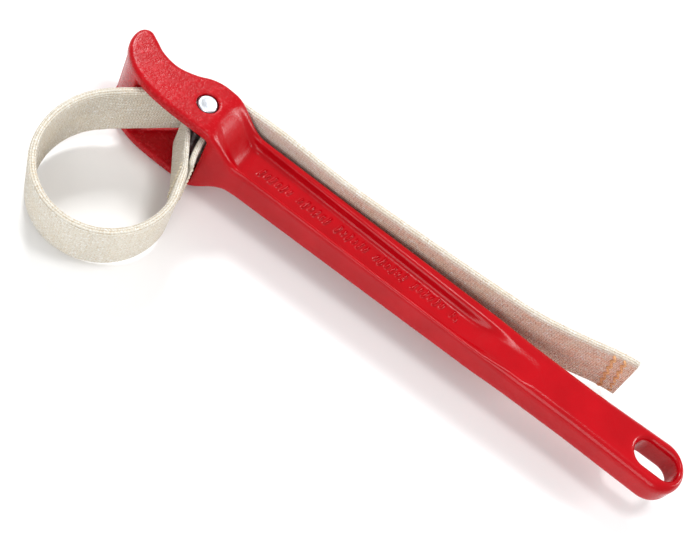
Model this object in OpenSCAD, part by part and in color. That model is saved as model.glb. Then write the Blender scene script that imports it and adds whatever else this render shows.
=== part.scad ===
// Strap wrench: a one-piece cast handle with a forked head, a cross pin, and a woven strap.
// The strap's sewn eye turns on the pin. The strap then makes a loop round the work, enters the
// mouth under the beak, passes over the eye and leaves the head along the back of the handle.
// X runs from the pin towards the hanging slot, Y towards the free tail, Z along the pin.
// The origin is on the pin's axis, in the outer face of the lower cheek, on which the tool lies.

/* [Casting] */
// Length from the tip of the beak to the end of the handle
overall_length = 300; // [270:1:330]
// Distance from the pin's axis to the tip of the beak
beak_reach = 43; // [41:0.5:45]
// Width of the head across both cheeks
head_w = 42; // [41:0.5:46]
// Thickness of one cheek
cheek_t = 5; // [4:0.5:5.5]
// Depth of the step between the cheeks' edges and the cross wall under the beak
brow_step = 1.2; // [0.6:0.1:1.6]
// Width of the handle along the pin's axis, next to the head
neck_w = 17.5; // [15:0.5:20]
// Width of the handle along the pin's axis, at its end
grip_w = 15.5; // [13:0.5:18]
// Radius of the handle's round end
end_r = 12.5; // [12:0.25:13.5]

/* [Recess and slot] */
// Thickness of the web between the two recesses
web_t = 7.5; // [5:0.5:9]
// Width of the rim above and below a recess
rim_w = 2.8; // [2:0.2:4]
// Width of the rim above a recess at its far end
end_rim = 8; // [3:0.5:9]
// Where a recess starts to fall from the cheek, from the pin
recess_start = 8; // [7:1:12]
// Where a recess has run out, from the pin
recess_end = 170; // [140:1:180]
// Number of raised pads along a recess
pad_count = 22; // [4:1:26]
// Height of a raised pad above the web
pad_h = 0.7; // [0.3:0.1:1.2]
// Length of the hanging slot
slot_l = 22; // [16:1:26]
// Width of the hanging slot
slot_w = 12.5; // [9:0.5:14]

/* [Pin] */
// Diameter of the cross pin
pin_d = 8.5; // [7.5:0.1:9]
// How far each end of the pin lies below the cheek
pin_sink = 0.3; // [0.1:0.1:0.6]
// Depth of the dished end of the pin
pin_dish = 0.5; // [0.2:0.1:0.8]

/* [Strap] */
// Width of the strap
strap_w = 28.6; // [25:0.2:30]
// Thickness of the strap
strap_t = 3.4; // [2.6:0.1:3.6]
// Thickness of one ply of the sewn eye
ply_t = 2.4; // [2:0.1:2.6]
// Radius of the round part of the loop
loop_r = 29.6; // [28:0.2:31]
// Tilt of the loop, which rests its far edge on the ground
loop_tilt = 5.5; // [0:0.5:5.5]
// Length of the sewn lap between the eye and the loop
lap_l = 7.5; // [5:0.5:8]

/* [Stitching] */
// Stitches across the strap in one row
stitches = 9; // [5:1:11]
// Thickness of the thread
thread_d = 0.7; // [0.5:0.1:0.9]

/* [Hidden] */

$fn = 64;
eps = 0.01;
mid_z = head_w / 2;
gap_w = head_w - 2 * cheek_t;
end_x = overall_length - beak_reach;
running = 0.05;          // radial clearance of the pin in the cheeks
eye_play = 0.1;          // radial clearance of the strap's eye on the pin

// Head outline, from the back of the neck over the crest, beak and chin to the front of the neck
neck_x = 30;
head_points = [[neck_x, 12.4], [18, 12.8], [8, 13.4], [0, 13.7], [-6, 12.2], [-12, 9], [-20, 6.9],
               [-28, 8.2], [-34, 11.4], [-beak_reach + 4.5, 13.4], [-beak_reach + 1, 11.6],
               [-beak_reach, 7], [-beak_reach + 1.5, 1], [-37, -4.6], [-30.5, -8.9], [-22, -11.6],
               [-12, -12.7], [0, -13], [10, -12.9], [18, -11.9], [neck_x, -10.9]];
// Middle of the round end, and the waist in front of it
end_c = [end_x - end_r, 0.5];
waist = [end_x - 52, 11.5, -11];
slot_c = [end_x - 14.5, 1.2];

// Space between the cheeks: the mouth, the pocket behind the beak, and the room for the strap
lip_line = 22.2;         // the lip's face lies on the line y = x + lip_line
throat_x = 9.6;          // rear wall of the space
cavity_points = [[-20 - lip_line, -20], [-27.5, lip_line - 27.5], [-32, 0.5], [-35, 6], [-35, 20],
                 [14, 20], [13, 12.6], [throat_x + 1, 9], [throat_x, 2], [throat_x, -20]];

// Width of the casting along Z: the head narrows to the neck on a cosine curve
taper = [6, 26];
bore_r = pin_d / 2 + running;
sink_w = 0.55;           // width and depth of the countersink round each end of the pin

// Strap route, at the middle of its thickness
lap_angle = -61;
lap_dir = [cos(lap_angle), sin(lap_angle)];
lap_side = [-lap_dir[1], lap_dir[0]];
lap_end = [12.8, -31];
lap_start = lap_end - lap_l * lap_dir;
ring_r = 7.4;            // outside of the eye round the pin
ply_r = ring_r - ply_t / 2 - 0.15;   // the plies blend into the round part
ply_side = ply_t / 2 - 0.05;         // the two plies press into each other at the lap
ply_tangent = 213.6;     // angle at which the inner ply leaves the pin
ply_pull = [6.5, -16];   // draws the outer ply towards the lap
loop_c = [-14.6, -45.8];
side_r = loop_r + 6;     // radius of the flatter side of the loop
side_angle = 201.4;
side_c = loop_c + (loop_r - side_r) * [cos(side_angle), sin(side_angle)];
mouth_y = -13.5;         // below this the loop hangs free and tilts
lead_start = side_c + side_r * [cos(135), sin(135)];
mouth = lead_start + (mouth_y - lead_start[1]) * [1, 1];
bend_r = 14;
bend_c = [4.7, 1.42];
bend_end = 93;
lead_end = bend_c + bend_r * [cos(bend_end), sin(bend_end)];
seam_gap = 1.4;          // leaves room for the loop to swing
seam_rise = 0.06;        // keeps the throat in line with the rounded end of the lead
fold_gap = 0.3;          // leaves room for the tail to fold away from the throat
throat_end = [40, 16.2];
tail_points = [[27, 16.4], throat_end, [66, 15.2], [100, 16.4], [140, 18.4], [165, 20.4], [185, 24.6],
               [205, 30], [216, 31.8], [226, 32]];
tail_last = len(tail_points) - 2;
row_places = [[203, 28.9], [208.5, 30.8]];
row_angle = 18;

// Points of an arc about c, from angle a0 to angle a1
function arc(c, r, a0, a1, n = 24) =
    [for (i = [0 : n]) let (a = a0 + (a1 - a0) * i / n) c + r * [cos(a), sin(a)]];

// Point of a smooth curve between p1 and p2, where t runs from 0 to 1
function blend_point(p0, p1, p2, p3, t) =
    0.5 * (2 * p1 + (p2 - p0) * t + (2 * p0 - 5 * p1 + 4 * p2 - p3) * t * t
           + (3 * p1 - p0 - 3 * p2 + p3) * t * t * t);

// Smooth curve through the points from index first to index last
function curve(p, first, last, n = 5) =
    concat([for (k = [first : last - 1]) for (i = [0 : n - 1])
                blend_point(p[max(k - 1, 0)], p[k], p[k + 1], p[min(k + 2, len(p) - 1)], i / n)],
           [p[last]]);

// Quadratic curve from a to c, drawn towards b
function pull(a, b, c, n = 12) =
    [for (i = [0 : n]) let (t = i / n) (1 - t) * (1 - t) * a + 2 * t * (1 - t) * b + t * t * c];

// Left-hand unit normal of a path at point i
function normal(p, i) =
    let (d = p[min(i + 1, len(p) - 1)] - p[max(i - 1, 0)]) [-d[1], d[0]] / norm(d);

// Outline of a band of thickness t along a path
function band(p, t) =
    concat([for (i = [0 : len(p) - 1]) p[i] + normal(p, i) * t / 2],
           [for (i = [len(p) - 1 : -1 : 0]) p[i] - normal(p, i) * t / 2]);

// Half the casting's width along Z at x
function half_w(x) =
    x <= taper[0] ? head_w / 2
    : x <= taper[1] ? neck_w / 2 + (head_w - neck_w) / 4
                      * (1 + cos(180 * (x - taper[0]) / (taper[1] - taper[0])))
    : neck_w / 2 - (neck_w - grip_w) / 2 * (x - taper[1]) / (end_x - taper[1]);

// Length of strap cut square across the pin's axis, about the middle of the head
module webbing(path, t = strap_t) {
    translate([0, 0, mid_z])
        linear_extrude(strap_w, center = true)
            polygon(band(path, t));
}

// Outline of the whole casting seen along the pin
module side_outline() {
    polygon(concat(curve(head_points, 0, len(head_points) - 1),
                   [[waist[0], waist[2]]], arc(end_c, end_r, -90, 90), [[waist[0], waist[1]]]));
}

// Outline of the whole casting seen from the tail's side, extruded through it
module plan_envelope() {
    xs = concat([-beak_reach - 1], [for (i = [0 : 20]) taper[0] + (taper[1] - taper[0]) * i / 20],
                [end_x + 1]);
    translate([0, 0, mid_z])
        rotate([90, 0, 0])
            linear_extrude(60, center = true)
                polygon(concat([for (x = xs) [x, half_w(x)]],
                               [for (i = [len(xs) - 1 : -1 : 0]) [xs[i], -half_w(xs[i])]]));
}

// Step that sets the cross wall back from the edges of the cheeks
module brow_outline() {
    wall_l = beak_reach - 24;
    wall_top = 4;
    wall_low = -20;
    inward = [0.8, 0.6];
    intersection() {
        translate([-beak_reach - 1, wall_low]) square([wall_l, wall_top - wall_low]);
        difference() {
            side_outline();
            translate(brow_step * inward) side_outline();
        }
    }
}

// Space of a recess: its floor falls from the cheek on a cosine curve and runs out on a slope
module recess() {
    floor_z = web_t / 2;
    ramp = 34;
    corner = 5;
    tall = head_w;
    swoop = [6, 28];
    steps = 14;
    run_out = 0.3;       // how far the floor rises past the handle's face
    near_x = recess_start + corner;
    far_x = recess_end - corner;
    near_top = 12.2 - rim_w - corner;
    far_top = 11.6 - end_rim - corner;
    bottom = -11 + rim_w + corner;
    intersection() {
        translate([0, 0, floor_z])
            linear_extrude(tall)
                polygon(concat(arc([near_x, near_top], corner, 180, 90, 8),
                               arc([far_x, far_top], corner, 90, 0, 8),
                               arc([far_x, bottom], corner, 0, -90, 8),
                               arc([near_x, bottom], corner, -90, -180, 8)));
        rotate([90, 0, 0])
            linear_extrude(60, center = true)
                polygon(concat([for (i = [0 : steps])
                                    [swoop[0] + (swoop[1] - swoop[0]) * i / steps,
                                     floor_z + (head_w - web_t) / 4 * (1 + cos(180 * i / steps))]],
                               [[recess_end - ramp, floor_z], [recess_end, grip_w / 2 + run_out],
                                [recess_end + ramp, tall], [swoop[0], tall]]));
    }
}

// Row of plain raised pads along the floor of a recess
module pads() {
    first_x = 34;
    last_x = recess_end - 32;
    mid_y = 0.3;
    wide_r = 2.4;
    narrow_r = 1.6;
    step = (last_x - first_x) / (pad_count - 1);
    for (i = [0 : pad_count - 1])
        translate([first_x + i * step, mid_y, web_t / 2 - eps])
            cylinder(h = pad_h, r = i % 2 == 0 ? wide_r : narrow_r, $fn = 4);
}

// Oblong hole for hanging the tool up
module hanging_slot() {
    reach = slot_l / 2 - slot_w / 2;
    translate([slot_c[0], slot_c[1], -eps]) {
        for (side = [-1, 1])
            translate([side * reach, 0, 0]) cylinder(h = head_w + 2 * eps, d = slot_w);
        translate([-reach, -slot_w / 2, 0]) cube([2 * reach, slot_w, head_w + 2 * eps]);
    }
}

// Bore for the pin through both cheeks, countersunk at each end
module pin_bore() {
    translate([0, 0, -eps]) cylinder(h = head_w + 2 * eps, r = bore_r);
    for (face = [0, 1])
        translate([0, 0, face * head_w])
            mirror([0, 0, face])
                translate([0, 0, -eps])
                    cylinder(h = sink_w + eps, r1 = bore_r + sink_w, r2 = bore_r);
}

// Red casting: beak, cheeks, cross wall, neck and handle in one piece
module handle_casting() {
    color("crimson")
        union() {
            difference() {
                intersection() {
                    linear_extrude(head_w) side_outline();
                    plan_envelope();
                }
                translate([0, 0, cheek_t]) linear_extrude(gap_w) polygon(cavity_points);
                translate([0, 0, cheek_t]) linear_extrude(gap_w) brow_outline();
                translate([0, 0, mid_z]) recess();
                translate([0, 0, mid_z]) mirror([0, 0, 1]) recess();
                hanging_slot();
                pin_bore();
            }
            translate([0, 0, mid_z]) pads();
            translate([0, 0, mid_z]) mirror([0, 0, 1]) pads();
        }
}

// Steel pin with chamfered, dished ends
module strap_pin() {
    r = pin_d / 2;
    edge = 0.4;
    low = pin_sink;
    high = head_w - pin_sink;
    color("silver")
        rotate_extrude()
            polygon([[0, low + pin_dish], [r - 3 * edge, low], [r - edge, low], [r, low + edge],
                     [r, high - edge], [r - edge, high], [r - 3 * edge, high], [0, high - pin_dish]]);
}

// Sewn eye: the end of the strap folded round the pin and stitched to itself
module strap_eye() {
    tangent = ply_r * [cos(ply_tangent), sin(ply_tangent)];
    inner = [tangent, lap_start - lap_side * ply_side, lap_end - lap_side * ply_side];
    outer = concat(pull([ply_r, 0], ply_pull, lap_start + lap_side * ply_side),
                   [lap_end + lap_side * ply_side]);
    color("ivory")
        difference() {
            union() {
                webbing(inner, ply_t);
                webbing(outer, ply_t);
                translate([0, 0, mid_z - strap_w / 2]) cylinder(h = strap_w, r = ring_r);
            }
            translate([0, 0, -eps]) cylinder(h = head_w, r = pin_d / 2 + eye_play);
        }
}

// Free loop below the head, tilted about the mouth until its far edge meets the ground
module strap_loop() {
    path = concat([lap_end], arc(loop_c, loop_r, 12, side_angle - 360, 40),
                  arc(side_c, side_r, side_angle - 5, 135, 12), [mouth]);
    color("ivory")
        translate([0, mouth_y, mid_z])
            rotate([loop_tilt, 0, 0])
                translate([0, -mouth_y, -mid_z])
                    webbing(path);
}

// Strap from the mouth up between the cheeks and over the eye
module strap_lead() {
    color("ivory") webbing(concat([mouth], arc(bend_c, bend_r, 135, bend_end, 10)));
}

// Strap where it leaves the head over the neck
module strap_throat() {
    color("ivory")
        webbing(concat([lead_end + [seam_gap, seam_rise]],
                       curve([[5, 15.5], [15, 16], [27, 16.4], throat_end - [fold_gap, 0],
                              [52, 15.6]], 1, 3),
                       [throat_end]));
}

// Free tail of the strap along the back of the handle, cut square where it meets the throat
module strap_tail() {
    path = curve(tail_points, 1, tail_last);
    color("ivory")
        webbing(concat([throat_end + [fold_gap, 0], throat_end + [2 * fold_gap, 0]],
                       [for (i = [1 : len(path) - 1]) path[i]]));
}

// One row of stitches across the strap, on both of its faces
module stitch_row(t) {
    pitch = strap_w / stitches;
    filled = 0.7;        // share of the pitch that is thread
    for (side = [-1, 1])
        for (i = [0 : stitches - 1])
            translate([0, side * t / 2, mid_z + (i - (stitches - 1) / 2) * pitch])
                cylinder(h = pitch * filled, d = thread_d, center = true, $fn = 16);
}

// Thread through the lap of the eye
module eye_stitching() {
    color("burlywood")
        for (share = [0.25, 0.75])
            translate(concat(lap_start + share * (lap_end - lap_start), 0))
                rotate([0, 0, lap_angle])
                    stitch_row(2 * ply_t);
}

// Thread across the end of the tail
module tail_stitching() {
    color("peru")
        for (place = row_places)
            translate(concat(place, 0)) rotate([0, 0, row_angle]) stitch_row(strap_t);
}

handle_casting();
strap_pin();
strap_eye();
strap_loop();
strap_lead();
strap_throat();
strap_tail();
eye_stitching();
tail_stitching();
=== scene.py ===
"""Strap wrench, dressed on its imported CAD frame.

The cast handle, the woven strap, its sewn eye and its stitching are built here as surfaces worked
out with numpy, in the CAD frame: X from the pin towards the hanging slot, Y towards the free tail,
Z along the pin, metres. Shapes are worked out in millimetres and scaled once, in MeshMaker.
"""
import logging
import math
from dataclasses import dataclass, field
from enum import Enum
from typing import Callable

import bpy
import numpy as np
from mathutils import Matrix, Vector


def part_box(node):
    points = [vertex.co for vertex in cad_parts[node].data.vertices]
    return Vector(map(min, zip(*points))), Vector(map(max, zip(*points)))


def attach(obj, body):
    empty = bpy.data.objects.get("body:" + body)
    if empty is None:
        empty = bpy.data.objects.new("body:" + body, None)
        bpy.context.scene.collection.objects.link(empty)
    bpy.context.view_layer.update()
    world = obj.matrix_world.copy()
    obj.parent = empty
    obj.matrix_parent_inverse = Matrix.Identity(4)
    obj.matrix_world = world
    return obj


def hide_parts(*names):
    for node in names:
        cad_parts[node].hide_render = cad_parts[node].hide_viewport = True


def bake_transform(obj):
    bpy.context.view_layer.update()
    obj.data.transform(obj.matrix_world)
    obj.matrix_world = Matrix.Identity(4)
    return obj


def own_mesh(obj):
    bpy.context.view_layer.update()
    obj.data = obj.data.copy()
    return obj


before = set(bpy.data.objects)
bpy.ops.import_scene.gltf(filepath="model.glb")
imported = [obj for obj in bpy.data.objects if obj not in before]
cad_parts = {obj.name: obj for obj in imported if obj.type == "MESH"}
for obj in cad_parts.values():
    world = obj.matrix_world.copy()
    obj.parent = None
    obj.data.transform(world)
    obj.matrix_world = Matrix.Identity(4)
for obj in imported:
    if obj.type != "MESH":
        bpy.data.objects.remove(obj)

logging.basicConfig(level=logging.INFO, format="%(name)s: %(message)s")
LOG = logging.getLogger("strap_wrench")

MM = 0.001
TAU = 2 * math.pi
TINY = 1e-6
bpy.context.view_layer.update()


class Body(Enum):
    """The rigid bodies of the frame that pieces ride on."""

    CASTING = "casting"
    LOOP = "loop"
    THROAT = "throat"
    TAIL = "tail"


class Finish(Enum):
    """Names of the material slots, each the start of a material's name."""

    PAINT = "red_paint"
    STEEL = "pin_steel"
    WEBBING = "webbing"
    EYE_THREAD = "eye_thread"
    TAIL_THREAD = "tail_thread"


# ---------------------------------------------------------------- plane curves, in millimetres


def arc(centre: tuple, radius: float, start: float, end: float, pitch: float = 0.8) -> np.ndarray:
    """Points of a circular arc: centre + radius (cos a, sin a), with a even from start to end.

    Args:
        centre: centre of the circle.
        radius: its radius.
        start: first angle in degrees.
        end: last angle in degrees.
        pitch: longest distance between two points.

    Returns:
        Points, shape (n, 2).
    """
    count = max(3, int(abs(math.radians(end - start)) * radius / pitch) + 2)
    a = np.radians(np.linspace(start, end, count))
    return np.asarray(centre, float) + radius * np.column_stack([np.cos(a), np.sin(a)])


def smooth_line(points: np.ndarray, each: int = 8) -> np.ndarray:
    """Catmull-Rom curve: a cubic through every point whose slope there is half the chord
    between the point's two neighbours.

    Args:
        points: points to pass through, shape (n, 2).
        each: points made between two given ones.

    Returns:
        Points, shape ((n - 1) each + 1, 2).
    """
    p = np.asarray(points, float)
    q = np.vstack([p[:1], p, p[-1:]])
    t = (np.arange(each) / each)[None, :, None]
    p0, p1, p2, p3 = (q[k : len(p) - 1 + k, None, :] for k in range(4))
    cubic = 2 * p1 + (p2 - p0) * t + (2 * p0 - 5 * p1 + 4 * p2 - p3) * t**2
    cubic = 0.5 * (cubic + (3 * p1 - p0 - 3 * p2 + p3) * t**3)
    return np.vstack([cubic.reshape(-1, 2), p[-1:]])


def pull(a: tuple, b: tuple, c: tuple, count: int = 16) -> np.ndarray:
    """Quadratic curve from a to c drawn towards b: (1-t)^2 a + 2t(1-t) b + t^2 c.

    Args:
        a: where the curve starts.
        b: the point it is drawn towards.
        c: where it ends.
        count: number of points.

    Returns:
        Points, shape (count, 2).
    """
    t = np.linspace(0, 1, count)[:, None]
    a, b, c = (np.asarray(v, float) for v in (a, b, c))
    return (1 - t) ** 2 * a + 2 * t * (1 - t) * b + t**2 * c


def even(path: np.ndarray, pitch: float, soften: int = 0) -> np.ndarray:
    """Path resampled at even steps of length, its corners softened by repeated averaging of
    each inner point with its two neighbours.

    Args:
        path: points, shape (n, 2).
        pitch: step between points.
        soften: how many times to average.

    Returns:
        Points, shape (m, 2), with the same two ends.
    """
    keep = np.r_[True, np.linalg.norm(np.diff(path, axis=0), axis=1) > TINY]
    path = path[keep]
    run = run_length(path)
    at = np.linspace(0, run[-1], max(3, int(run[-1] / pitch) + 1))
    out = np.column_stack([np.interp(at, run, path[:, k]) for k in (0, 1)])
    for _ in range(soften):
        out[1:-1] = 0.25 * out[:-2] + 0.5 * out[1:-1] + 0.25 * out[2:]
    return out


def run_length(path: np.ndarray) -> np.ndarray:
    """Distance along a path at each of its points."""
    return np.r_[0, np.cumsum(np.linalg.norm(np.diff(path, axis=0), axis=1))]


def left_normals(path: np.ndarray) -> np.ndarray:
    """Unit normals to the left of a path: its tangent turned a quarter turn.

    Args:
        path: points, shape (n, 2).

    Returns:
        Normals, shape (n, 2).
    """
    d = np.gradient(path, axis=0)
    d /= np.linalg.norm(d, axis=1)[:, None]
    return np.column_stack([-d[:, 1], d[:, 0]])


def ease(x: np.ndarray, low: float, high: float) -> np.ndarray:
    """Smooth step 3t^2 - 2t^3, where t runs from 0 at low to 1 at high.

    Args:
        x: where to evaluate it.
        low: x at which t is 0.
        high: x at which t is 1.

    Returns:
        Values from 0 to 1, shaped as x.
    """
    t = np.clip((np.asarray(x, float) - low) / (high - low), 0, 1)
    return t * t * (3 - 2 * t)


def outline_distance(x: np.ndarray, y: np.ndarray, loop: np.ndarray) -> np.ndarray:
    """Signed distance to a closed outline, negative inside: the least distance to any of its
    edges, with the sign from how many edges a ray towards +X crosses.

    Args:
        x: X of the points.
        y: Y of the points.
        loop: outline, shape (n, 2).

    Returns:
        Distances, shaped as x.
    """
    shape = np.shape(x)
    px, py = np.ravel(x), np.ravel(y)
    a, b = loop, np.roll(loop, -1, axis=0)
    e = b - a
    slope = e[:, 0] / np.where(np.abs(e[:, 1]) < TINY**2, TINY**2, e[:, 1])
    out = np.empty(px.size)
    chunk = 16000           # points worked on at once, which keeps the arrays small
    for start in range(0, px.size, chunk):
        qx, qy = px[start : start + chunk, None], py[start : start + chunk, None]
        wx, wy = qx - a[:, 0], qy - a[:, 1]
        t = np.clip((wx * e[:, 0] + wy * e[:, 1]) / (e**2).sum(1), 0, 1)
        near = ((wx - t * e[:, 0]) ** 2 + (wy - t * e[:, 1]) ** 2).min(1)
        spans = (a[:, 1] > qy) != (b[:, 1] > qy)
        hits = (spans & (qx < a[:, 0] + (qy - a[:, 1]) * slope)).sum(1)
        out[start : start + chunk] = np.where(hits % 2 == 1, -1, 1) * np.sqrt(near)
    return out.reshape(shape)


def round_max(a: np.ndarray, b: np.ndarray, r: float | np.ndarray) -> np.ndarray:
    """Meeting of two solids with the edge between them rounded to radius r: the two distances,
    each moved out by r, are joined as the legs of a right angle where both are positive.

    Args:
        a: distances to one solid.
        b: distances to the other.
        r: radius of the edge.

    Returns:
        Distances to the meeting.
    """
    u, v = a + r, b + r
    corner = np.hypot(np.maximum(u, 0), np.maximum(v, 0))
    return np.minimum(np.maximum(u, v), 0) + corner - r


# ---------------------------------------------------------------- meshes


@dataclass
class MeshMaker:
    """Turns arrays in millimetres into finished Blender meshes in metres."""

    crease: float = math.radians(60)

    def build(self, name: str, verts: np.ndarray, quads: np.ndarray, uv: np.ndarray | None = None,
              caps: tuple = ()) -> bpy.types.Object:
        """Makes one object at the origin, with its place in its mesh.

        Args:
            name: name of the object.
            verts: points in millimetres, shape (n, 3).
            quads: corners of the faces, shape (m, 4).
            uv: corner coordinates, shape (m, 4, 2), in millimetres along and across.
            caps: extra faces of any number of corners.

        Returns:
            The object, linked to the scene.
        """
        mesh = bpy.data.meshes.new(name)
        faces = [*quads.tolist(), *[list(c) for c in caps]]
        mesh.from_pydata((verts * MM).tolist(), [], faces)
        if uv is not None:
            layer = mesh.uv_layers.new(name="cloth")
            flat = np.zeros((len(mesh.loops), 2), np.float32)
            flat[: quads.size] = uv.reshape(-1, 2) * MM
            layer.data.foreach_set("uv", flat.ravel())
        mesh.polygons.foreach_set("use_smooth", np.ones(len(mesh.polygons), bool))
        mesh.validate()
        mesh.update()
        if caps:
            mesh.set_sharp_from_angle(angle=self.crease)
        obj = bpy.data.objects.new(name, mesh)
        bpy.context.scene.collection.objects.link(obj)
        LOG.info("%s: %d faces", name, len(mesh.polygons))
        return obj

    @staticmethod
    def join(parts: list[tuple[np.ndarray, np.ndarray]]) -> tuple[np.ndarray, np.ndarray]:
        """Several (verts, quads) pairs as one, each part's corners counted on from the last.

        Args:
            parts: pairs of points and quads.

        Returns:
            All points, and all quads.
        """
        starts = np.cumsum([0] + [len(v) for v, _ in parts[:-1]])
        quads = [q + s for (_, q), s in zip(parts, starts)]
        return np.vstack([v for v, _ in parts]), np.vstack(quads)


def net_surface(values: np.ndarray, origin: np.ndarray, pitch: float) -> tuple:
    """Surface where a grid of distances changes sign, by the surface-net rule: one point in
    each cell that the surface passes through, at the mean of the crossings on the cell's
    twelve edges, and one quad for every grid edge that the surface crosses.

    Args:
        values: distances on the grid, shape (nx, ny, nz).
        origin: place of the grid's first point.
        pitch: spacing of the grid.

    Returns:
        Points, shape (n, 3), and quads, shape (m, 4), facing outwards.
    """
    cells = tuple(s - 1 for s in values.shape)
    total, hits = np.zeros((*cells, 3)), np.zeros(cells)

    def shifted(offset: tuple) -> np.ndarray:
        """Grid values at one corner of every cell."""
        return values[tuple(slice(o, o + c) for o, c in zip(offset, cells))]

    for axis in range(3):
        others = [k for k in range(3) if k != axis]
        for i in (0, 1):
            for j in (0, 1):
                low = [0, 0, 0]
                low[others[0]], low[others[1]] = i, j
                high = list(low)
                high[axis] = 1
                f0, f1 = shifted(tuple(low)), shifted(tuple(high))
                cross = (f0 < 0) != (f1 < 0)
                t = np.where(cross, f0 / np.where(cross, f0 - f1, 1), 0)
                for k in range(3):
                    total[..., k] += np.where(cross, t if k == axis else low[k], 0)
                hits += cross
    used = hits > 0
    index = np.full(cells, -1)
    index[used] = np.arange(used.sum())
    base = np.argwhere(used)
    points = origin + pitch * (base + total[used] / hits[used][:, None])
    quads = []
    for axis in range(3):
        b, c = (axis + 1) % 3, (axis + 2) % 3
        core = [slice(1, -1)] * 3
        core[axis] = slice(0, -1)
        ahead = list(core)
        ahead[axis] = slice(1, None)
        f0, f1 = values[tuple(core)], values[tuple(ahead)]
        at = np.argwhere((f0 < 0) != (f1 < 0))
        inside_first = (f0 < 0)[tuple(at.T)]
        at = at + np.array([0 if k == axis else 1 for k in range(3)])
        corner = []
        for db, dc in ((1, 1), (0, 1), (0, 0), (1, 0)):
            cell = at.copy()
            cell[:, b] -= db
            cell[:, c] -= dc
            corner.append(index[tuple(cell.T)])
        quad = np.column_stack(corner)
        quads.append(np.where(inside_first[:, None], quad, quad[:, ::-1]))
    return points, np.vstack(quads)


# ---------------------------------------------------------------- shader graphs


class Signal:
    """A number that varies over a surface, wrapped so that expressions add Math nodes."""

    def __init__(self, graph: "Graph", socket: bpy.types.NodeSocket) -> None:
        """Wraps an output socket of a graph."""
        self.graph, self.socket = graph, socket

    def _math(self, operation: str, *values: "Signal | float") -> "Signal":
        """One Math node on some values."""
        links = {i: v for i, v in enumerate(values)}
        return self.graph.signal("ShaderNodeMath", {"operation": operation}, links)

    def __add__(self, other: "Signal | float") -> "Signal":
        """Sum."""
        return self._math("ADD", self, other)

    def __mul__(self, other: "Signal | float") -> "Signal":
        """Product."""
        return self._math("MULTIPLY", self, other)

    def __sub__(self, other: "Signal | float") -> "Signal":
        """Difference."""
        return self._math("SUBTRACT", self, other)

    __radd__, __rmul__ = __add__, __mul__

    def sine(self) -> "Signal":
        """Sine of the value in radians."""
        return self._math("SINE", self)

    def size(self) -> "Signal":
        """The value without its sign."""
        return self._math("ABSOLUTE", self)

    def power(self, exponent: float) -> "Signal":
        """The value raised to a power."""
        return self._math("POWER", self, exponent)

    def fold(self) -> "Signal":
        """Fractional part."""
        return self._math("FRACT", self)

    def step(self, low: float, high: float, bottom: float = 0.0, top: float = 1.0) -> "Signal":
        """Smooth step from bottom at low to top at high.

        Args:
            low: value at which it is bottom.
            high: value at which it is top.
            bottom: result at low.
            top: result at high.

        Returns:
            The stepped signal.
        """
        return self.graph.signal(
            "ShaderNodeMapRange", {"interpolation_type": "SMOOTHSTEP"},
            {"Value": self, "From Min": low, "From Max": high, "To Min": bottom, "To Max": top})


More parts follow.
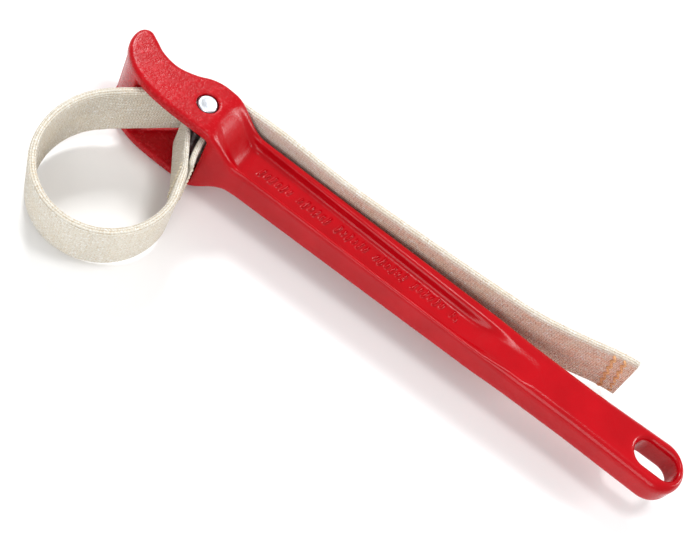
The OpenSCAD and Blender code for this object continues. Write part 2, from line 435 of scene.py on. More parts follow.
class Graph:
    """One material's nodes."""

    def __init__(self, name: str) -> None:
        """Starts an empty material with an output and a Principled shader.

        Args:
            name: the material's name.
        """
        self.material = bpy.data.materials.new(name)
        self.material.use_nodes = True
        self.tree = self.material.node_tree
        self.tree.nodes.clear()
        self.out = self.tree.nodes.new("ShaderNodeOutputMaterial")
        self.shader = self.tree.nodes.new("ShaderNodeBsdfPrincipled")
        self.tree.links.new(self.shader.outputs[0], self.out.inputs[0])

    def node(self, kind: str, settings: dict | None = None,
             sockets: dict | None = None) -> bpy.types.Node:
        """Adds a node.

        Args:
            kind: the node's type.
            settings: attributes that are set first, such as an operation.
            sockets: input name or index to a value, a Signal or an output socket.

        Returns:
            The node.
        """
        made = self.tree.nodes.new(kind)
        for key, value in (settings or {}).items():
            setattr(made, key, value)
        for key, value in (sockets or {}).items():
            self.feed(made.inputs[key], value)
        return made

    def feed(self, socket: bpy.types.NodeSocket, value: object) -> None:
        """Links or sets one input socket.

        Args:
            socket: input to feed.
            value: a Signal, an output socket, a colour or a number.
        """
        if isinstance(value, Signal):
            value = value.socket
        if isinstance(value, bpy.types.NodeSocket):
            self.tree.links.new(value, socket)
        elif isinstance(value, tuple) and len(value) == 3 and socket.type == "RGBA":
            socket.default_value = (*value, 1.0)
        else:
            socket.default_value = value

    def signal(self, kind: str, settings: dict | None = None, sockets: dict | None = None,
               output: int | str = 0) -> Signal:
        """Adds a node and wraps one of its outputs.

        Args:
            kind: the node's type.
            settings: attributes that are set first.
            sockets: input name or index to its value.
            output: which output to wrap.

        Returns:
            The wrapped output.
        """
        return Signal(self, self.node(kind, settings, sockets).outputs[output])

    def object_space(self, scale: tuple = (1, 1, 1)) -> bpy.types.NodeSocket:
        """Object coordinates, multiplied by a scale per axis.

        Args:
            scale: factor for each axis.

        Returns:
            The socket that carries them.
        """
        place = self.node("ShaderNodeTexCoord").outputs["Object"]
        stretch = self.node("ShaderNodeVectorMath", {"operation": "MULTIPLY"}, {0: place, 1: scale})
        return stretch.outputs[0]

    def noise(self, place: bpy.types.NodeSocket, scale: float, detail: float = 2.0,
              rough: float = 0.5) -> Signal:
        """Noise from 0 to 1 with features one over scale across.

        Args:
            place: coordinates.
            scale: features to a metre.
            detail: octaves.
            rough: share of each finer octave.

        Returns:
            The noise.
        """
        return self.signal("ShaderNodeTexNoise", None,
                           {"Vector": place, "Scale": scale, "Detail": detail,
                            "Roughness": rough})

    def colour(self, factor: Signal, low: object, high: object) -> bpy.types.NodeSocket:
        """Mixes two colours.

        Args:
            factor: 0 for low, 1 for high.
            low: one colour.
            high: the other.

        Returns:
            The socket that carries the mix.
        """
        mix = self.node("ShaderNodeMix", {"data_type": "RGBA"})
        self.feed(mix.inputs[0], factor)
        self.feed(mix.inputs[6], low)
        self.feed(mix.inputs[7], high)
        return mix.outputs[2]

    def bump(self, height: Signal, depth: float) -> None:
        """Feeds a height that runs from 0 to 1, depth metres deep, to the shader's normal.

        Args:
            height: the height.
            depth: how deep it is, in metres.
        """
        made = self.node("ShaderNodeBump", None,
                         {"Strength": 1.0, "Distance": depth, "Height": height})
        self.feed(self.shader.inputs["Normal"], made.outputs[0])

    def set(self, **values: object) -> None:
        """Sets or links inputs of the Principled shader; an underscore stands for a space."""
        for key, value in values.items():
            self.feed(self.shader.inputs[key.replace("_", " ")], value)


@dataclass(frozen=True)
class RedPaint:
    """Glossy baked enamel over a sand-cast skin."""

    red: tuple = (0.44, 0.0014, 0.006)
    deep: tuple = (0.38, 0.0012, 0.005)
    # painted_glint: the light pink of the painted glints in the head's grain
    painted_glint: tuple = (0.60, 0.030, 0.040)
    gloss: float = 0.17
    skin_size: float = 1 / 240
    peel_size: float = 1 / 1250
    grain_size: float = 1 / 640
    mottle_size: float = 1 / 70
    depth: float = 0.00014
    grainy_to: tuple = (-0.004, 0.026)

    def material(self) -> bpy.types.Material:
        """Builds the material: the cast skin and a fine peel as bump, a faint mottle, and a grain
        on the head whose light pink flecks are painted glints of reflected light.

        Returns:
            The material.
        """
        g = Graph(Finish.PAINT.value + "_cast")
        place = g.object_space()
        skin = g.noise(place, 1 / self.skin_size, 3, 0.55)
        peel = g.noise(place, 1 / self.peel_size, 2, 0.5)
        grain = g.noise(place, 1 / self.grain_size, 3, 0.75)
        mottle = g.noise(place, 1 / self.mottle_size, 2, 0.5).step(0.3, 0.75)
        axes = g.node("ShaderNodeSeparateXYZ", None, {0: place})
        head = Signal(g, axes.outputs[0]).step(*self.grainy_to, 1.0, 0.0)
        plain = g.colour(mottle, self.deep, self.red)
        # painted highlight: light pink flecks on the head's grain stand in for glints of the lamps
        # in the orange peel
        g.set(Base_Color=g.colour(grain.step(0.52, 0.68) * head * 0.6, plain, self.painted_glint),
              Roughness=skin.step(0.25, 0.8, self.gloss, self.gloss + 0.08) + grain * head * 0.12,
              Specular_IOR_Level=0.2)
        g.bump(skin * (head * 0.4 + 0.14) + peel * 0.25 + grain * head * 1.2, self.depth)
        return g.material


@dataclass(frozen=True)
class TurnedSteel:
    """Bright pin, its ends turned in rings."""

    light: tuple = (0.66, 0.69, 0.73)
    dull: tuple = (0.44, 0.46, 0.50)
    ring_pitch: float = 0.0006
    scratch_size: float = 1 / 900
    depth: float = 0.00004

    def material(self) -> bpy.types.Material:
        """Builds the material: rings about the pin's axis and small scratches.

        Returns:
            The material.
        """
        g = Graph(Finish.STEEL.value + "_turned")
        flat = g.object_space((1, 1, 0))
        radius = g.signal("ShaderNodeVectorMath", {"operation": "LENGTH"}, {0: flat}, "Value")
        rings = (radius * (TAU / self.ring_pitch)).sine() * 0.5 + 0.5
        scratch = g.noise(g.object_space(), 1 / self.scratch_size, 3, 0.6)
        g.set(Base_Color=g.colour(scratch.step(0.35, 0.7), self.light, self.dull), Metallic=1.0,
              Roughness=scratch.step(0.3, 0.7, 0.34, 0.46))
        g.bump(rings * 0.8 + scratch * 0.2, self.depth)
        return g.material


@dataclass(frozen=True)
class Weave:
    """Heavy woven webbing: warp yarns along the strap, crossed by picks, with pale flecks. The
    free tail is tinted pink-brown, but for its upper selvedge: partly stain and wear, partly
    painted red reflection from the handle's paint and painted shade in the weave's gaps."""

    light: tuple = (0.77, 0.73, 0.64)
    shade: tuple = (0.58, 0.46, 0.31)
    fleck: tuple = (0.95, 0.95, 0.92)
    # the tail's two tints: partly stain and wear, partly painted red reflection from the paint and
    # painted shade
    stain_and_red_bounce: tuple = (0.84, 0.56, 0.41)
    rubbed_and_red_shade: tuple = (0.46, 0.17, 0.09)
    dust: tuple = (0.80, 0.68, 0.48)
    yarn: float = 0.0012
    pick: float = 0.0013
    stagger: float = 1.6
    drift_size: float = 1 / 420
    fuzz_size: float = 1 / 1900
    burr_size: float = 1 / 560
    patch_size: float = 1 / 620
    grime_size: float = 1 / 75
    depth: float = 0.0008
    # X range over which the tail's tint of wear, painted red reflection and painted shade sets in
    wear_and_bounce: tuple = (0.02, 0.10)
    untinted_top: tuple = (0.0315, 0.0345)

    def material(self) -> bpy.types.Material:
        """Builds the material: yarns bulge between picks that alternate from yarn to yarn.

        Returns:
            The material.
        """
        g = Graph(Finish.WEBBING.value + "_woven")
        uv = g.node("ShaderNodeUVMap", {"uv_map": "cloth"}).outputs[0]
        parts = g.node("ShaderNodeSeparateXYZ", None, {0: uv})
        along, across = Signal(g, parts.outputs[0]), Signal(g, parts.outputs[1])
        place = g.object_space()
        drift = g.noise(place, 1 / self.drift_size, 2, 0.6)
        lane = (across * (math.pi / self.yarn) + drift * 0.5).sine().size()
        side = (across * (1 / (2 * self.yarn))).fold().step(0.48, 0.52)
        beat = (along * (TAU / self.pick) + side * self.stagger + drift * 3.0).sine() * 0.5 + 0.5
        fuzz = g.noise(place, 1 / self.fuzz_size, 4, 0.75)
        height = lane.power(0.7) * (beat * 0.6 + 0.4)
        grime = g.noise(place, 1 / self.grime_size, 3, 0.6).step(0.42, 0.8)
        axes = g.node("ShaderNodeSeparateXYZ", None, {0: place})
        # the upper selvedge is left out of the tint of painted red reflection and painted shade
        upper = Signal(g, axes.outputs[2]).step(*self.untinted_top, 1.0, 0.15)
        wear_and_bounce = Signal(g, axes.outputs[0]).step(*self.wear_and_bounce) * upper
        # gaps on the tail turn red-brown: painted shade tinted by painted red reflection, partly
        # wear
        gaps = g.colour(wear_and_bounce, self.shade, self.rubbed_and_red_shade)
        streaks = g.object_space((0.3, 1, 1))
        patches = g.noise(streaks, 1 / self.patch_size, 4, 0.8).step(0.42, 0.58)
        # faces on the tail turn pinkish: stain, and painted red reflection from the handle's paint
        faces = g.colour(wear_and_bounce * (patches * 0.55 + 0.45), self.light, self.stain_and_red_bounce)
        flecks = g.noise(place, 1 / self.patch_size, 3, 0.8).step(0.54, 0.64)
        faces = g.colour(flecks * 0.8, faces, self.fleck)
        burr = g.noise(place, 1 / self.burr_size, 3, 0.85)
        tone = g.colour((height + fuzz * 1.1 + burr * 1.4 - 1.2).step(0.0, 0.6), gaps, faces)
        dusty = g.colour(grime * 0.35, tone, self.dust)
        g.set(Base_Color=dusty, Roughness=0.95, Specular_IOR_Level=0.15, Sheen_Weight=0.2,
              Sheen_Roughness=0.5)
        g.bump(height * 0.6 + fuzz * 0.4, self.depth)
        return g.material


@dataclass(frozen=True)
class Thread:
    """Waxed sewing thread with a twist."""

    slot: Finish
    light: tuple
    dark: tuple
    strand_size: float = 1 / 2400
    depth: float = 0.0002

    def material(self) -> bpy.types.Material:
        """Builds the material: slanted strands along the thread.

        Returns:
            The material.
        """
        g = Graph(self.slot.value + "_twisted")
        place = g.object_space()
        strands = g.noise(place, 1 / self.strand_size, 2, 0.6)
        g.set(Base_Color=g.colour(strands.step(0.35, 0.65), self.dark, self.light),
              Roughness=0.7, Specular_IOR_Level=0.25)
        g.bump(strands, self.depth)
        return g.material


def dress(obj: bpy.types.Object, material: bpy.types.Material) -> None:
    """Gives a piece its one material.

    Args:
        obj: the piece.
        material: its material.
    """
    obj.data.materials.clear()
    obj.data.materials.append(material)


# ---------------------------------------------------------------- casting


@dataclass
class Casting:
    """The one-piece casting: beak, cheeks, cross wall, neck, handle and hanging slot.

    It is one field of signed distances in millimetres, meshed by net_surface: the side outline
    meets the width along the pin with rounded edges, and the space between the cheeks, the two
    recesses, the pin bore and the hanging slot are taken from it with rounded rims.
    """

    beak_reach: float = 43.0
    end_r: float = 12.5
    cheek_t: float = 5.0
    neck_w: float = 17.5
    grip_w: float = 15.5
    brow_step: float = 1.2
    taper: tuple = (6.0, 26.0)
    web_t: float = 7.5
    rim_w: float = 2.8
    end_rim: float = 8.2
    marks: tuple = (34.0, 138.0)
    mark_pitch: float = 2.9
    mark_y: float = 0.3
    mark_tall: float = 2.6
    mark_h: float = 1.15
    recess: tuple = (8.0, 180.0)
    swoop: tuple = (6.0, 28.0)
    scoop: tuple = (134.0, 170.0)
    slot_l: float = 22.0
    slot_w: float = 12.5
    slot_back: float = 14.5
    slot_y: float = 1.2
    waist_back: float = 52.0
    neck_top: float = 12.2
    waist_top: float = 11.5
    waist_low: float = -11.0
    bore_r: float = 4.9
    gap_round: float = 1.6
    mouth_round: float = 0.9
    floor_round: float = 2.8
    slot_round: float = 3.0
    bore_round: float = 0.45
    pitch: float = 0.66
    outline: np.ndarray = field(init=False)
    cavity: np.ndarray = field(init=False)
    pocket: np.ndarray = field(init=False)

    def __post_init__(self) -> None:
        """Takes the head's width and the end from the CAD box and draws the outlines."""
        low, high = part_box("handle_casting")
        self.head_w = (high.z - low.z) / MM
        self.mid_z = (high.z + low.z) / 2 / MM
        self.end_x = high.x / MM
        reach = self.beak_reach
        head = [(30, 12.4), (18, 12.8), (8, 13.4), (0, 13.7), (-6, 12.2), (-12, 9), (-20, 6.9),
                (-28, 8.2), (-34, 11.4), (4.5 - reach, 13.4), (1 - reach, 11.6), (-reach, 7),
                (1.5 - reach, 1), (-37, -4.6), (-30.5, -8.9), (-22, -11.6), (-12, -12.7), (0, -13),
                (10, -12.9), (18, -11.9), (30, -10.9)]
        waist_x = self.end_x - self.waist_back
        end = (self.end_x - self.end_r, 0.5)
        self.outline = np.vstack([smooth_line(np.array(head), 7), [(waist_x, self.waist_low)],
                                  arc(end, self.end_r, -90, 90), [(waist_x, self.waist_top)]])
        self.cavity = np.array([(-42.2, -20), (-27.5, -5.3), (-32, 0.5), (-35, 6), (-35, 22),
                                (14.2, 22), (13.4, 14), (12.4, 11.4), (10.6, 8.8), (9.6, 4),
                                (9.6, -20)])
        a, b = self.recess
        top, bottom = self.neck_top - self.rim_w, self.waist_low + self.rim_w
        low_top = 11.6 - self.end_rim
        c, d = 6.0, 5.6
        self.pocket = np.vstack([arc((a + c, top - c), c, 180, 90),
                                 arc((b - d, low_top - d), d, 90, 0),
                                 arc((b - d, bottom + d), d, 0, -90),
                                 arc((a + c, bottom + c), c, -90, -180)])

    def half_width(self, x: np.ndarray) -> np.ndarray:
        """Half the width along the pin at x: the head's, falling on a cosine to the neck's,
        then straight to the grip's.

        Args:
            x: places along the handle.

        Returns:
            Half widths, shaped as x.
        """
        t = np.clip((x - self.taper[0]) / (self.taper[1] - self.taper[0]), 0, 1)
        fall = (self.head_w - self.neck_w) / 4 * (1 + np.cos(math.pi * t))
        far = np.clip((x - self.taper[1]) / (self.end_x - self.taper[1]), 0, 1)
        return self.neck_w / 2 + fall - (self.neck_w - self.grip_w) / 2 * far

    def web_floor(self, x: np.ndarray, y: np.ndarray) -> np.ndarray:
        """Height of a recess's floor from the middle plane: it falls from the cheek on a cosine,
        runs flat, and rises at its far end; groups of low slanted strokes stand on it.

        Args:
            x: places along the handle.
            y: places across it.

        Returns:
            Heights, shaped as x.
        """
        t = np.clip((x - self.swoop[0]) / (self.swoop[1] - self.swoop[0]), 0, 1)
        floor = self.web_t / 2 + (self.head_w - self.web_t) / 4 * (1 + np.cos(math.pi * t))
        floor = floor + ease(x, *self.scoop) ** 1.6 * ((self.grip_w - self.web_t) / 2 + 0.9)
        v = y - self.mark_y
        run = (x - 0.3 * v - self.marks[0]) / self.mark_pitch
        turn = np.round(run)
        here = (run > -0.5) & (x < self.marks[1]) & (turn % 7 != 6)
        tall = self.mark_tall - 0.8 * (turn % 2)
        stroke = np.minimum(0.7 - np.abs(run - turn) * self.mark_pitch, tall - np.abs(v))
        return floor + np.where(here, self.mark_h * np.clip(stroke / 0.5, 0, 1), 0)

    def plan(self, x: np.ndarray, y: np.ndarray) -> dict[str, np.ndarray]:
        """Everything that depends on X and Y alone.

        Args:
            x: places along the handle.
            y: places across it.

        Returns:
            Arrays by name, each shaped as x.
        """
        reach = self.slot_l / 2 - self.slot_w / 2
        sx = np.maximum(np.abs(x - (self.end_x - self.slot_back)) - reach, 0)
        brow = ease(x, -22, -26) * ease(y, 6, 3)
        return {
            "x": x,
            "side": outline_distance(x, y, self.outline),
            "brow": self.brow_step * brow,
            "cavity": outline_distance(x, y, self.cavity),
            "pocket": outline_distance(x, y, self.pocket),
            "slot": self.slot_w / 2 - np.hypot(sx, y - self.slot_y),
            "bore": self.bore_r - np.hypot(x, y),
            "half": self.half_width(x),
            "floor": self.web_floor(x, y),
            "edge": 2.0 + 0.9 * ease(x, 12, 28) + 1.3 * ease(x, 150, 175),
            "rim": 1.7 + 1.3 * ease(x, 40, 150),
        }

    def distance(self, p: dict[str, np.ndarray], z: np.ndarray) -> np.ndarray:
        """Signed distance to the casting's surface, negative inside.

        Args:
            p: the plan's arrays.
            z: Z of the points, in shape to go with them.

        Returns:
            Distances.
        """
        h = np.abs(z - self.mid_z)
        inner = self.head_w / 2 - self.cheek_t
        side = p["side"] + p["brow"] * ease(h, inner + 0.4, inner - 1.4)
        body = round_max(side, h - p["half"], p["edge"])
        gap = round_max(p["cavity"], h - inner, self.gap_round)
        body = round_max(body, -gap, self.mouth_round)
        dip = round_max(p["pocket"], p["floor"] - h, self.floor_round)
        body = round_max(body, -dip, p["rim"])
        body = round_max(body, p["slot"], self.slot_round)
        return round_max(body, p["bore"], self.bore_round)

    def settle(self, points: np.ndarray, rounds: int = 2) -> np.ndarray:
        """Moves points onto the surface: each goes back along the field's slope by its
        distance over the slope's length squared, half a pitch at most.

        Args:
            points: points near the surface, shape (n, 3).
            rounds: how many times to move them.

        Returns:
            Points on the surface.
        """
        h = 0.08
        for _ in range(rounds):
            x, y, z = points.T
            here = self.plan(x, y)
            f = self.distance(here, z)
            grad = np.column_stack([
                self.distance(self.plan(x + h, y), z) - self.distance(self.plan(x - h, y), z),
                self.distance(self.plan(x, y + h), z) - self.distance(self.plan(x, y - h), z),
                self.distance(here, z + h) - self.distance(here, z - h)]) / (2 * h)
            step = -f[:, None] * grad / np.maximum((grad**2).sum(1), 0.2)[:, None]
            far = np.linalg.norm(step, axis=1, keepdims=True)
            points = points + step * np.minimum(1, 0.5 * self.pitch / np.maximum(far, 1e-9))
        return points

    def build(self, paint: RedPaint) -> None:
        """Meshes the field and dresses the casting.

        Args:
            paint: its finish.
        """
        low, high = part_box("handle_casting")
        margin = 2 * self.pitch
        start = np.array(low) / MM - margin
        counts = np.ceil((np.array(high) / MM + margin - start) / self.pitch).astype(int) + 1
        axes = [start[k] + self.pitch * np.arange(counts[k]) for k in range(3)]
        gx, gy = np.meshgrid(axes[0], axes[1], indexing="ij")
        flat = {k: v[..., None] for k, v in self.plan(gx, gy).items()}
        values = self.distance(flat, axes[2][None, None, :])
        verts, quads = net_surface(values, start, self.pitch)
        obj = MeshMaker().build("cast_handle", self.settle(verts), quads)
        dress(obj, paint.material())
        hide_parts("handle_casting")
        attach(obj, Body.CASTING.value)


# ---------------------------------------------------------------- strap


@dataclass
class StrapRoute:
    """Where the strap runs, seen along the pin, at the middle of its thickness."""

    lap_end: np.ndarray = field(default_factory=lambda: np.array([12.8, -31.0]))
    lap_angle: float = -61.0
    lap_l: float = 7.5
    flap_out: float = 1.9
    flap_short: float = 4.6
    ring_r: float = 7.4
    ply_t: float = 2.4
    strap_t: float = 3.4
    ply_tangent: float = 213.6
    loop_c: tuple = (-14.6, -45.8)
    loop_r: float = 29.6
    side_extra: float = 6.0
    side_angle: float = 201.4
    bend_c: tuple = (4.7, 1.42)
    bend_r: float = 14.0
    bend_end: float = 93.0
    mouth_y: float = -13.5
    droop: float = math.tan(math.radians(5.5))

    def __post_init__(self) -> None:
        """Works out the lap's direction and where the leg leaves the loop."""
        a = math.radians(self.lap_angle)
        self.lap_dir = np.array([math.cos(a), math.sin(a)])
        self.lap_side = np.array([-self.lap_dir[1], self.lap_dir[0]])
        self.lap_start = self.lap_end - self.lap_l * self.lap_dir
        side_r = self.loop_r + self.side_extra
        turn = math.radians(self.side_angle)
        out = np.array([math.cos(turn), math.sin(turn)])
        self.side_c = np.array(self.loop_c) - self.side_extra * out
        self.side_r = side_r
        self.leg_start = self.side_c + side_r * np.array([-math.sqrt(0.5), math.sqrt(0.5)])

    def sag(self, y: np.ndarray) -> np.ndarray:
        """How far the strap hangs down at y: nothing in the head, then a straight slope that
        sets in over 6 mm.

        Args:
            y: places across the handle.

        Returns:
            Depths, shaped as y.
        """
        below = np.maximum(self.mouth_y - y, 0)
        return self.droop * below * ease(below, 0, 6)

    def eye_and_loop(self) -> tuple[np.ndarray, int]:
        """One line from the cut end of the fold, up the outer ply, round the pin, down the inner
        ply and on round the loop to the foot of the leg.

        Returns:
            Points, and the number of the one at which the fold ends and the loop starts.
        """
        ply_r = self.ring_r - self.ply_t / 2
        inner = self.lap_start - self.lap_side * self.ply_t / 2
        outer = self.lap_end + self.lap_side * self.flap_out
        path = np.vstack([
            [outer - self.lap_dir * self.flap_short, outer - self.lap_dir * (self.flap_short + 3)],
            pull(tuple(self.lap_start + self.lap_side * self.ply_t * 0.72), (6.3, -15),
                 (ply_r, 0)),
            arc((0, 0), ply_r, 0, self.ply_tangent),
            [inner + 0.4 * (self.lap_end - inner)],
            arc(self.loop_c, self.loop_r, 9, self.side_angle - 360),
            arc(tuple(self.side_c), self.side_r, self.side_angle, 135)])
        path = even(path, 0.7, 10)
        split = int(np.argmin(np.linalg.norm(path - self.lap_end, axis=1)
                              + 99 * (np.arange(len(path)) < 60)))
        return path, split

    def eye_thickness(self, count: int, split: int) -> np.ndarray:
        """Thickness along the eye and loop: thin at the cut end, a hard-pulled ply round the
        pin, then the strap's own.

        Args:
            count: number of points.
            split: number of the point at which the loop starts.

        Returns:
            Thickness at each point.
        """
        i = np.arange(count)
        cut = 1 - 0.8 * ease(i, 7, 0)
        return (self.ply_t + (self.strap_t - self.ply_t) * ease(i, split - 12, split)) * cut

    def lead(self) -> np.ndarray:
        """Leg from the loop up through the mouth, and the bend over the eye.

        Returns:
            Points, shape (n, 2).
        """
        path = np.vstack([[self.leg_start], arc(self.bend_c, self.bend_r, 135, self.bend_end),
                          [(5.0, 15.5)]])
        return even(path, 0.8, 6)

    def throat(self) -> np.ndarray:
        """Length that leaves the head over the neck.

        Returns:
            Points, shape (n, 2).
        """
        whole = smooth_line(np.array([(-1, 15.1), (5, 15.5), (15, 16), (27, 16.4), (40, 16.2),
                                      (52, 15.6)]), 10)
        return even(whole[10:41], 0.8)

    def tail(self) -> np.ndarray:
        """Free tail along the back of the handle.

        Returns:
            Points, shape (n, 2).
        """
        whole = smooth_line(np.array([(27, 16.4), (40, 16.2), (66, 15.2), (100, 16.4), (140, 18.4),
                                      (165, 20.4), (185, 24.6), (205, 30), (216, 31.8),
                                      (226, 32)]), 12)
        return even(whole[12:97], 0.8)


@dataclass
class WebbingRun:
    """One length of webbing: a flat band with round selvedges, carried along a path."""

    name: str
    path: np.ndarray
    width: float
    thick: np.ndarray | float
    mid_z: float
    sag: Callable[[np.ndarray], np.ndarray]
    start: float = 0.0
    skew: float = 0.0
    lean: float = 0.0
    normals: np.ndarray | None = None
    across: int = 26
    round_points: int = 5

    def profile(self) -> tuple[np.ndarray, np.ndarray]:
        """Cross-section as a ring: flat faces joined by half circles. Its points are
        (across, through), each with the girth at which it lies.

        Returns:
            Ring, shape (m, 2), and girth at each of its corners, shape (m + 1,).
        """
        r = float(np.max(self.thick)) / 2
        flat = np.linspace(-(self.width / 2 - r), self.width / 2 - r, self.across)
        a = np.radians(np.linspace(90, -90, self.round_points + 2))[1:-1]
        cap = np.column_stack([self.width / 2 - r + r * np.cos(a), r * np.sin(a)])
        ring = np.vstack([np.column_stack([flat, np.full_like(flat, r)]), cap,
                          np.column_stack([flat[::-1], np.full_like(flat, -r)]),
                          -cap])
        closed = np.vstack([ring, ring[:1]])
        return ring, run_length(closed)

    def build(self) -> bpy.types.Object:
        """Carries the ring along the path; its width wavers by a few hundredths of a millimetre
        along it, as woven cloth does.

        Returns:
            The finished piece.
        """
        ring, girth = self.profile()
        n, m = len(self.path), len(ring)
        normal = left_normals(self.path) if self.normals is None else self.normals
        s = run_length(self.path) + self.start
        waver = 0.10 * np.sin(s / 1.9) + 0.07 * np.sin(s / 0.83 + 1.0)
        wide = 1 + waver / self.width
        a = ring[None, :, 0] * wide[:, None]
        b = ring[None, :, 1] * (np.broadcast_to(self.thick, n) / np.max(self.thick))[:, None]
        turn = np.sin(math.pi * np.linspace(0, 1, n)) ** 2
        b = b + self.lean * turn[:, None] * a / self.width
        end = np.zeros(n)
        end[-6:] = np.linspace(0, 1, 6)
        tangent = np.gradient(self.path, axis=0)
        tangent /= np.linalg.norm(tangent, axis=1)[:, None]
        slide = end[:, None] * a * self.skew
        x = self.path[:, :1] + b * normal[:, :1] + slide * tangent[:, :1]
        y = self.path[:, 1:] + b * normal[:, 1:] + slide * tangent[:, 1:]
        z = self.mid_z + a - self.sag(y)
        verts = np.stack([x, y, z], axis=-1).reshape(-1, 3)
        i, j = np.meshgrid(np.arange(n - 1), np.arange(m), indexing="ij")
        k = (j + 1) % m
        quads = np.stack([i * m + j, i * m + k, (i + 1) * m + k, (i + 1) * m + j], -1)
        uv = np.stack([np.stack([s[i], girth[j]], -1), np.stack([s[i], girth[j + 1]], -1),
                       np.stack([s[i + 1], girth[j + 1]], -1),
                       np.stack([s[i + 1], girth[j]], -1)], axis=-2)
        first = range(m - 1, -1, -1)
        last = range((n - 1) * m, n * m)
        return MeshMaker().build(self.name, verts, quads.reshape(-1, 4), uv.reshape(-1, 4, 2),
                                 (first, last))


@dataclass
class Strap:
    """The whole strap: the sewn eye, the loop, the lead through the head, and the tail."""

    route: StrapRoute = field(default_factory=StrapRoute)
    weave: Weave = field(default_factory=Weave)
    loop_keep: float = 0.86
    loop_lean: float = 2.4
    tail_skew: float = -0.1

    def __post_init__(self) -> None:
        """Takes the strap's width and middle from the CAD box of the lead."""
        low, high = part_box("strap_lead")
        self.width = (high.z - low.z) / MM
        self.mid_z = (high.z + low.z) / 2 / MM

    def run(self, name: str, path: np.ndarray, start: float = 0.0, skew: float = 0.0,
            thick: np.ndarray | None = None, lean: float = 0.0,
            normals: np.ndarray | None = None) -> bpy.types.Object:
        """Builds one length of the strap, as thick as the strap unless told otherwise.

        Args:
            name: name of the piece.
            path: its middle line.
            start: run of strap before it.
            skew: slant of its far end.
            thick: thickness at each point.
            lean: how far it leans outwards in its middle.
            normals: normals of the path, where its neighbours fix them.

        Returns:
            The finished piece.
        """
        thick = self.route.strap_t if thick is None else thick
        return WebbingRun(name, path, self.width, thick, self.mid_z, self.route.sag, start, skew,
                          lean, normals).build()

    def build(self) -> None:
        """Builds every length and dresses it; the eye, the loop and the lead go on the loop's body,
        the throat and the tail are left without a body.
        """
        cloth = self.weave.material()
        route = self.route
        line, split = route.eye_and_loop()
        thick = route.eye_thickness(len(line), split)
        normals = left_normals(line)
        fold, loop = slice(0, split + 1), slice(split, None)
        lead, throat, tail = route.lead(), route.throat(), route.tail()
        at_loop = run_length(line)[split]
        at_lead = run_length(line)[-1]
        at_throat = at_lead + run_length(lead)[-1]
        at_tail = at_throat + run_length(throat)[-1]
        eye = self.run("eye_fold", line[fold], thick=thick[fold], normals=normals[fold])
        outer = self.run("loop_webbing", line[loop], at_loop, lean=self.loop_lean,
                         thick=thick[loop], normals=normals[loop])
        leg = self.run("lead_webbing", lead, at_lead)
        throat_piece = self.run("throat_webbing", throat, at_throat)
        tail_piece = self.run("tail_webbing", tail, at_tail, self.tail_skew)
        for piece, node in ((eye, "strap_eye"), (outer, "strap_loop"), (leg, "strap_lead"),
                            (throat_piece, "strap_throat"), (tail_piece, "strap_tail")):
            dress(piece, cloth)
            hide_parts(node)
        for piece in (eye, outer, leg):
            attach(piece, Body.LOOP.value)
        mid = self.mid_z
        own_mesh(outer)
        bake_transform(throat_piece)
        tuple(np.array([tail[0][0] + 40, tail[0][1], mid]) * MM)
        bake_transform(tail_piece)


@dataclass
class StitchRows:
    """Rows of stitches across the strap, on both of its faces."""

    name: str
    node: str
    body: Body
    thread: Thread
    places: list
    angle: float
    surface: float
    route: StrapRoute
    count: int = 11
    thread_r: float = 0.42
    skew: float = 0.0
    slant: float = 0.0
    rings: int = 9
    sides: int = 8
    crown: float = 0.42
    dive: float = 0.25
    margin: float = 1.2

    def stitch(self, centre: np.ndarray, out: np.ndarray, length: float,
               slant: float) -> tuple[np.ndarray, np.ndarray]:
        """One stitch: a round thread whose middle stands proud and whose ends dive into the
        cloth, along Z. Its centreline rises as (1 - t^2) and its radius narrows at the ends.

        Args:
            centre: middle of the stitch, on the cloth.
            out: unit normal of the cloth in the XY plane.
            length: length along Z.
            slant: shift along the strap from one end to the other.

        Returns:
            Points and quads.
        """
        t = np.linspace(-1, 1, self.rings)
        a = np.linspace(0, TAU, self.sides, endpoint=False)
        rise = self.crown * (1 - t**2) - self.dive
        side = np.array([-out[1], out[0]])
        r = self.thread_r * (1 - 0.55 * t**4)
        cx = centre[0] + out[0] * rise + side[0] * slant * t / 2
        cy = centre[1] + out[1] * rise + side[1] * slant * t / 2
        offset = np.cos(a)[None, :] * r[:, None]
        through = np.sin(a)[None, :] * r[:, None]
        x = cx[:, None] + out[0] * offset + side[0] * through
        y = cy[:, None] + out[1] * offset + side[1] * through
        z = np.broadcast_to((centre[2] + t * length / 2)[:, None], x.shape)
        verts = np.stack([x, y, z], -1).reshape(-1, 3)
        m, last = self.sides, (self.rings - 1) * self.sides
        i, j = np.meshgrid(np.arange(self.rings - 1), np.arange(m), indexing="ij")
        k = (j + 1) % m
        quads = np.stack([i * m + j, i * m + k, (i + 1) * m + k, (i + 1) * m + j], -1)
        fan = np.array([[0, c, c + 1, c + 2] for c in range(1, m - 1, 2)])
        return verts, np.vstack([quads.reshape(-1, 4), fan[:, ::-1], last + fan])

    def build(self) -> None:
        """Builds every row and puts it on its body."""
        low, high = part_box("strap_lead")
        width, mid = (high.z - low.z) / MM, (high.z + low.z) / 2 / MM
        pitch = (width - 2 * self.margin) / self.count
        a = math.radians(self.angle)
        along, normal = np.array([math.cos(a), math.sin(a)]), np.array([-math.sin(a), math.cos(a)])
        parts = []
        for place in self.places:
            for side in (-1.0, 1.0):
                out = normal * side
                for i in range(self.count):
                    up = (i - (self.count - 1) / 2) * pitch
                    spot = np.array(place) + out * self.surface + along * self.skew * up
                    z = mid + up - float(self.route.sag(spot[1]))
                    lean = self.slant * (1 if i % 2 else -1) * side
                    parts.append(self.stitch(np.array([*spot, z]), out, pitch * 0.92, lean))
        verts, quads = MeshMaker.join(parts)
        obj = MeshMaker().build(self.name, verts, quads)
        dress(obj, self.thread.material())
        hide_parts(self.node)
        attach(obj, self.body.value)


# ---------------------------------------------------------------- stage


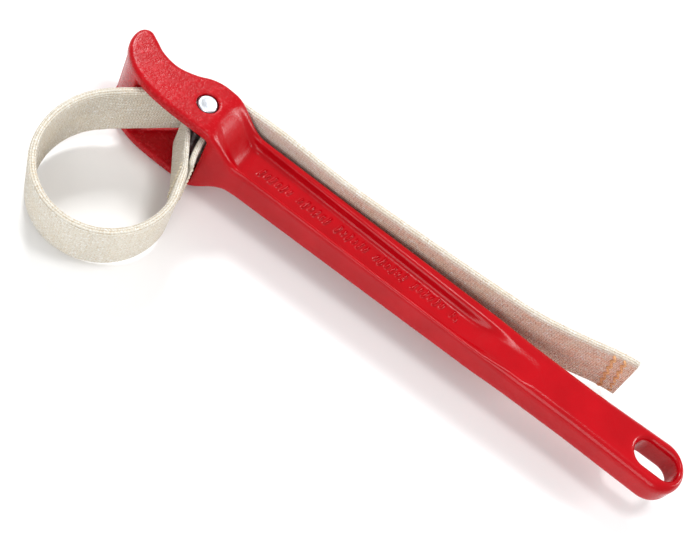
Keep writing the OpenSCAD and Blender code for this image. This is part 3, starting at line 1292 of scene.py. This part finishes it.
@dataclass
class Stage:
    """Camera, floor and lights."""

    camera_at: tuple = (0.0915, -0.3212, 0.4757)
    right: tuple = (0.8017, 0.4955, 0.3342)
    down: tuple = (0.5977, -0.6646, -0.4483)
    lens: float = 66.5
    floor_size: float = 6.0
    floor_drop: float = 1e-4
    floor_tone: tuple = (0.90, 0.90, 0.90)
    aim: tuple = (0.09, 0.0, 0.02)
    sky: float = 0.5

    def camera(self) -> None:
        """Places the camera from its right and down directions."""
        data = bpy.data.cameras.new("camera")
        data.lens, data.sensor_width, data.sensor_fit = self.lens, 36.0, "HORIZONTAL"
        data.clip_start, data.clip_end = 0.01, 20
        obj = bpy.data.objects.new("camera", data)
        x, y = np.array(self.right), -np.array(self.down)
        turn = np.column_stack([x, y, np.cross(x, y)])
        place = Matrix([[*turn[k], self.camera_at[k]] for k in range(3)] + [[0, 0, 0, 1]])
        obj.matrix_world = place
        bpy.context.scene.collection.objects.link(obj)
        bpy.context.scene.camera = obj

    def floor(self) -> None:
        """A plain pale floor just below the object."""
        half, z = self.floor_size / 2, -self.floor_drop
        mesh = bpy.data.meshes.new("floor")
        mesh.from_pydata([(-half, -half, z), (half, -half, z), (half, half, z), (-half, half, z)],
                         [], [(0, 1, 2, 3)])
        obj = bpy.data.objects.new("floor", mesh)
        bpy.context.scene.collection.objects.link(obj)
        g = Graph("floor_matte")
        g.set(Base_Color=self.floor_tone, Roughness=0.9, Specular_IOR_Level=0.1)
        mesh.materials.append(g.material)

    def light(self, name: str, at: tuple, size: tuple, power: float) -> None:
        """One soft rectangular light that points at the middle of the tool.

        Args:
            name: name of the lamp.
            at: where it stands.
            size: its two sides.
            power: its power in watts.
        """
        data = bpy.data.lights.new(name, "AREA")
        data.shape, data.size, data.size_y, data.energy = "RECTANGLE", *size, power
        obj = bpy.data.objects.new(name, data)
        back = np.array(at) - np.array(self.aim)
        back /= np.linalg.norm(back)
        side = np.cross((0, 0, 1.0) if abs(back[2]) < 0.99 else (0, 1.0, 0), back)
        side /= np.linalg.norm(side)
        up = np.cross(back, side)
        obj.matrix_world = Matrix([[side[k], up[k], back[k], at[k]] for k in range(3)]
                                  + [[0, 0, 0, 1]])
        bpy.context.scene.collection.objects.link(obj)

    def build(self) -> None:
        """Sets the camera, the floor, the lights and a pale sky."""
        bpy.context.scene.view_settings.view_transform = "Standard"
        self.camera()
        self.floor()
        self.light("key", (-0.56, 0.60, 0.90), (0.28, 0.28), 10.5)
        self.light("fill", (0.35, -1.2, 0.75), (1.0, 0.7), 10)
        self.light("top", (0.25, 0.1, 1.3), (0.25, 0.25), 4.5)
        self.light("glint", (1.0, 0.55, 0.42), (0.3, 0.3), 5)
        world = bpy.data.worlds.new("pale_sky")
        world.use_nodes = True
        sky = world.node_tree.nodes["Background"]
        sky.inputs[0].default_value = (1, 1, 1, 1)
        sky.inputs[1].default_value = self.sky
        bpy.context.scene.world = world


def main() -> None:
    """Builds the strap wrench piece by piece."""
    Stage().build()
    LOG.info("stage set")
    Casting().build(RedPaint())
    strap = Strap()
    strap.build()
    route = strap.route
    lap_places = [tuple(route.lap_start + k * (route.lap_end - route.lap_start)
                        + rise * route.lap_side) for k, rise in ((0.0, 0.15), (0.24, 0.0))]
    eye_thread = Thread(Finish.EYE_THREAD, (0.84, 0.78, 0.64), (0.62, 0.53, 0.38))
    StitchRows("eye_thread", "eye_stitching", Body.LOOP, eye_thread, places=lap_places,
               angle=route.lap_angle, surface=route.ply_t - 0.1, route=route, count=9).build()
    tail_thread = Thread(Finish.TAIL_THREAD, (0.84, 0.50, 0.27), (0.62, 0.30, 0.13))
    StitchRows("tail_thread", "tail_stitching", Body.TAIL, tail_thread,
               places=[(206.4, 30.2), (211.4, 31.4)], angle=15,
               surface=route.strap_t / 2 + 0.1, route=route, count=10, thread_r=0.8,
               skew=-0.25, slant=1.5).build()
    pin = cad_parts["strap_pin"]
    dress(pin, TurnedSteel().material())
    LOG.info("pin dressed")


if __name__ == "__main__":
    main()
